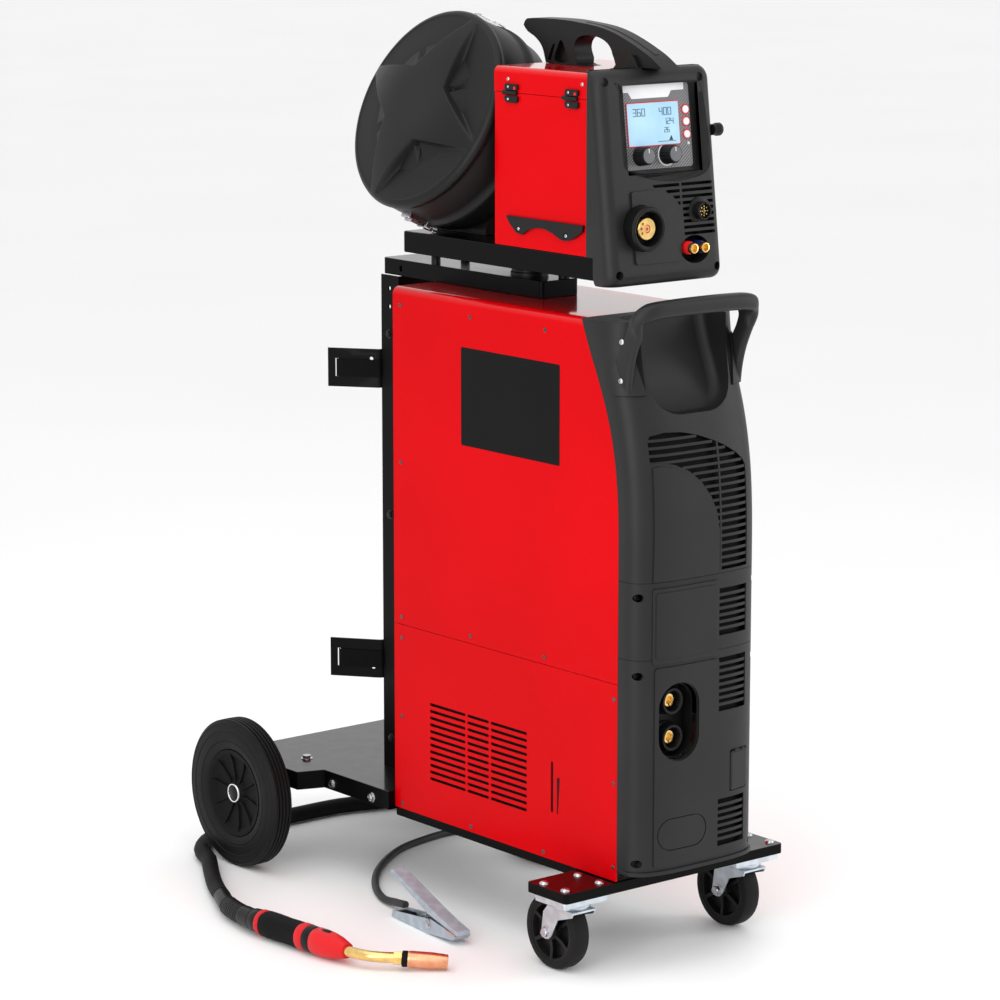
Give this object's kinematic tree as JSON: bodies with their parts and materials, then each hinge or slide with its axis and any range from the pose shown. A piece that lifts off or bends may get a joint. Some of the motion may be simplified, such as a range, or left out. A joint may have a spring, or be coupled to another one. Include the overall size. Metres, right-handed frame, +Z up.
{
  "type": "mig welder on cart",
  "caption": "Inverter MIG welding power source on a wheeled cart with a bottle shelf, a swivelling wire feeder with spool drum on top, a torch and an earth clamp.",
  "frame": {"origin": "on the floor under the middle of the machine, measured without the leads", "axes": "+Z up, the control front faces -Y, +X to the right seen from the front"},
  "size_m": [0.9424, 1.0569, 1.4313],
  "materials": {
    "red_paint": "gloss powder coat",
    "black_paint": "semi-gloss powder coat",
    "grey_plastic": "fine textured moulding",
    "black_plastic": "satin moulding",
    "panel_grey": "printed foil",
    "tyre_rubber": "moulded rubber",
    "cord_rubber": "matt rubber jacket",
    "zinc": "bright zinc plate",
    "aluminium": "mill finish",
    "module": "averaged assembly",
    "tank": "translucent moulding",
    "torch_red": "satin moulding",
    "brass": "turned"
  },
  "bodies": {
    "chassis": {"base_pan": "black_paint", "caster_plate": "black_paint", "bottle_shelf": "black_paint", "rear_axle": "zinc", "mast": "black_paint", "top_beam": "black_paint", "bottle_bracket_lower": "black_paint", "bottle_bracket_upper": "black_paint", "upper_cover": "red_paint", "lower_panel_left": "red_paint", "lower_panel_right": "red_paint", "rear_panel": "aluminium", "power_module": "module", "coolant_tank": "tank", "front_upper": "grey_plastic", "front_middle": "grey_plastic", "front_lower": "grey_plastic", "handle_bar": "grey_plastic", "weld_sockets": "black_plastic", "torch_handle": "torch_red", "torch_neck": "brass", "torch_hose": "cord_rubber", "torch_hose_coil": "cord_rubber", "torch_plug": "black_plastic", "earth_cable": "cord_rubber", "earth_cable_coil": "cord_rubber", "earth_plug": "cord_rubber", "clamp_lower": "zinc"},
    "rear_wheel_left": {"rear_rim_left": "black_plastic", "rear_tyre_left": "tyre_rubber"},
    "rear_wheel_right": {"rear_rim_right": "black_plastic", "rear_tyre_right": "tyre_rubber"},
    "caster_swivel_left": {"caster_fork_left": "zinc"},
    "caster_swivel_right": {"caster_fork_right": "zinc"},
    "caster_roller_left": {"caster_wheel_left": "tyre_rubber"},
    "caster_roller_right": {"caster_wheel_right": "tyre_rubber"},
    "fan": {"cooling_fan": "black_plastic"},
    "socket_cover": {"socket_cover": "grey_plastic"},
    "feeder": {"feeder_base": "black_paint", "feeder_cover": "red_paint", "drive_unit": "aluminium", "feeder_bezel": "grey_plastic", "control_panel": "panel_grey", "euro_socket": "black_plastic", "coolant_couplings": "black_plastic", "feeder_handle": "grey_plastic", "drum_base": "black_plastic"},
    "feeder_door": {"feeder_door": "red_paint"},
    "pressure_arm": {"pressure_arm": "aluminium"},
    "knob_left": {"knob_left": "black_plastic"},
    "knob_right": {"knob_right": "black_plastic"},
    "panel_button_1": {"panel_button_1": "panel_grey"},
    "panel_button_2": {"panel_button_2": "panel_grey"},
    "panel_button_3": {"panel_button_3": "panel_grey"},
    "spool": {"wire_spool": "black_plastic"},
    "drum_cover": {"drum_cover": "black_plastic"},
    "drum_latch_top": {"drum_latch_top": "zinc"},
    "drum_latch_bottom": {"drum_latch_bottom": "zinc"},
    "trigger": {"torch_trigger": "torch_red"},
    "clamp_upper": {"clamp_upper": "zinc"}
  },
  "joints": [
    {"name": "rear_wheel_left_spin", "type": "hinge", "parent": "chassis", "child": "rear_wheel_left", "pos_m": [-0.2315, 0.385, 0.125], "axis": [1, 0, 0], "continuous": true},
    {"name": "caster_left_swivel", "type": "hinge", "parent": "chassis", "child": "caster_swivel_left", "pos_m": [-0.176, -0.409, 0.13], "axis": [0, 0, 1], "continuous": true},
    {"name": "caster_left_roll", "type": "hinge", "parent": "caster_swivel_left", "child": "caster_roller_left", "pos_m": [-0.176, -0.376, 0.06], "axis": [1, 0, 0], "continuous": true},
    {"name": "rear_wheel_right_spin", "type": "hinge", "parent": "chassis", "child": "rear_wheel_right", "pos_m": [0.2315, 0.385, 0.125], "axis": [1, 0, 0], "continuous": true},
    {"name": "caster_right_swivel", "type": "hinge", "parent": "chassis", "child": "caster_swivel_right", "pos_m": [0.176, -0.409, 0.13], "axis": [0, 0, 1], "continuous": true},
    {"name": "caster_right_roll", "type": "hinge", "parent": "caster_swivel_right", "child": "caster_roller_right", "pos_m": [0.176, -0.376, 0.06], "axis": [1, 0, 0], "continuous": true},
    {"name": "fan_spin", "type": "hinge", "parent": "chassis", "child": "fan", "pos_m": [0, 0.068, 0.7], "axis": [0, 1, 0], "continuous": true},
    {"name": "socket_cover_hinge", "type": "hinge", "parent": "chassis", "child": "socket_cover", "pos_m": [0.0783, -0.5061, 0.3297], "axis": [-0.9816, -0.1908, 0], "range_deg": [0, 85]},
    {"name": "feeder_swivel", "type": "hinge", "parent": "chassis", "child": "feeder", "pos_m": [0, -0.092, 1.04], "axis": [0, 0, 1], "range_deg": [-90, 90]},
    {"name": "feeder_door_hinge", "type": "hinge", "parent": "feeder", "child": "feeder_door", "pos_m": [-0.1106, -0.252, 1.32], "axis": [0, 1, 0], "range_deg": [0, 100]},
    {"name": "pressure_arm_hinge", "type": "hinge", "parent": "feeder", "child": "pressure_arm", "pos_m": [-0.048, -0.197, 1.184], "axis": [-1, 0, 0], "range_deg": [0, 60]},
    {"name": "knob_left_turn", "type": "hinge", "parent": "feeder", "child": "knob_left", "pos_m": [-0.033, -0.39011, 1.234], "axis": [0, -0.9932, 0.1162], "continuous": true},
    {"name": "knob_right_turn", "type": "hinge", "parent": "feeder", "child": "knob_right", "pos_m": [0.02, -0.39011, 1.234], "axis": [0, -0.9932, 0.1162], "continuous": true},
    {"name": "panel_button_1_press", "type": "slide", "parent": "feeder", "child": "panel_button_1", "axis": [0, 0.9932, -0.1162], "range_m": [0, 0.002], "stiffness_N_per_m": 300},
    {"name": "panel_button_2_press", "type": "slide", "parent": "feeder", "child": "panel_button_2", "axis": [0, 0.9932, -0.1162], "range_m": [0, 0.002], "stiffness_N_per_m": 300},
    {"name": "panel_button_3_press", "type": "slide", "parent": "feeder", "child": "panel_button_3", "axis": [0, 0.9932, -0.1162], "range_m": [0, 0.002], "stiffness_N_per_m": 300},
    {"name": "spool_spin", "type": "hinge", "parent": "feeder", "child": "spool", "pos_m": [-0.04988, 0.031, 1.25634], "axis": [-0.9135, 0, 0.4067], "continuous": true},
    {"name": "drum_cover_slide", "type": "slide", "parent": "feeder", "child": "drum_cover", "axis": [-0.9135, 0, 0.4067], "range_m": [0, 0.12]},
    {"name": "drum_latch_top_hinge", "type": "hinge", "parent": "drum_cover", "child": "drum_latch_top", "pos_m": [0.02507, 0.031, 1.40994], "axis": [0, 1, 0], "range_deg": [0, 100]},
    {"name": "drum_latch_bottom_hinge", "type": "hinge", "parent": "drum_cover", "child": "drum_latch_bottom", "pos_m": [-0.11387, 0.031, 1.09787], "axis": [0, -1, 0], "range_deg": [0, 100]},
    {"name": "torch_trigger_press", "type": "slide", "parent": "chassis", "child": "trigger", "axis": [0, 0, -1], "range_m": [0, 0.004], "stiffness_N_per_m": 800},
    {"name": "clamp_jaw", "type": "hinge", "parent": "chassis", "child": "clamp_upper", "pos_m": [-0.2158, -0.13936, 0.03], "axis": [-0.995, 0.1, 0], "range_deg": [0, 15], "stiffness_Nm_per_rad": 6}
  ]
}
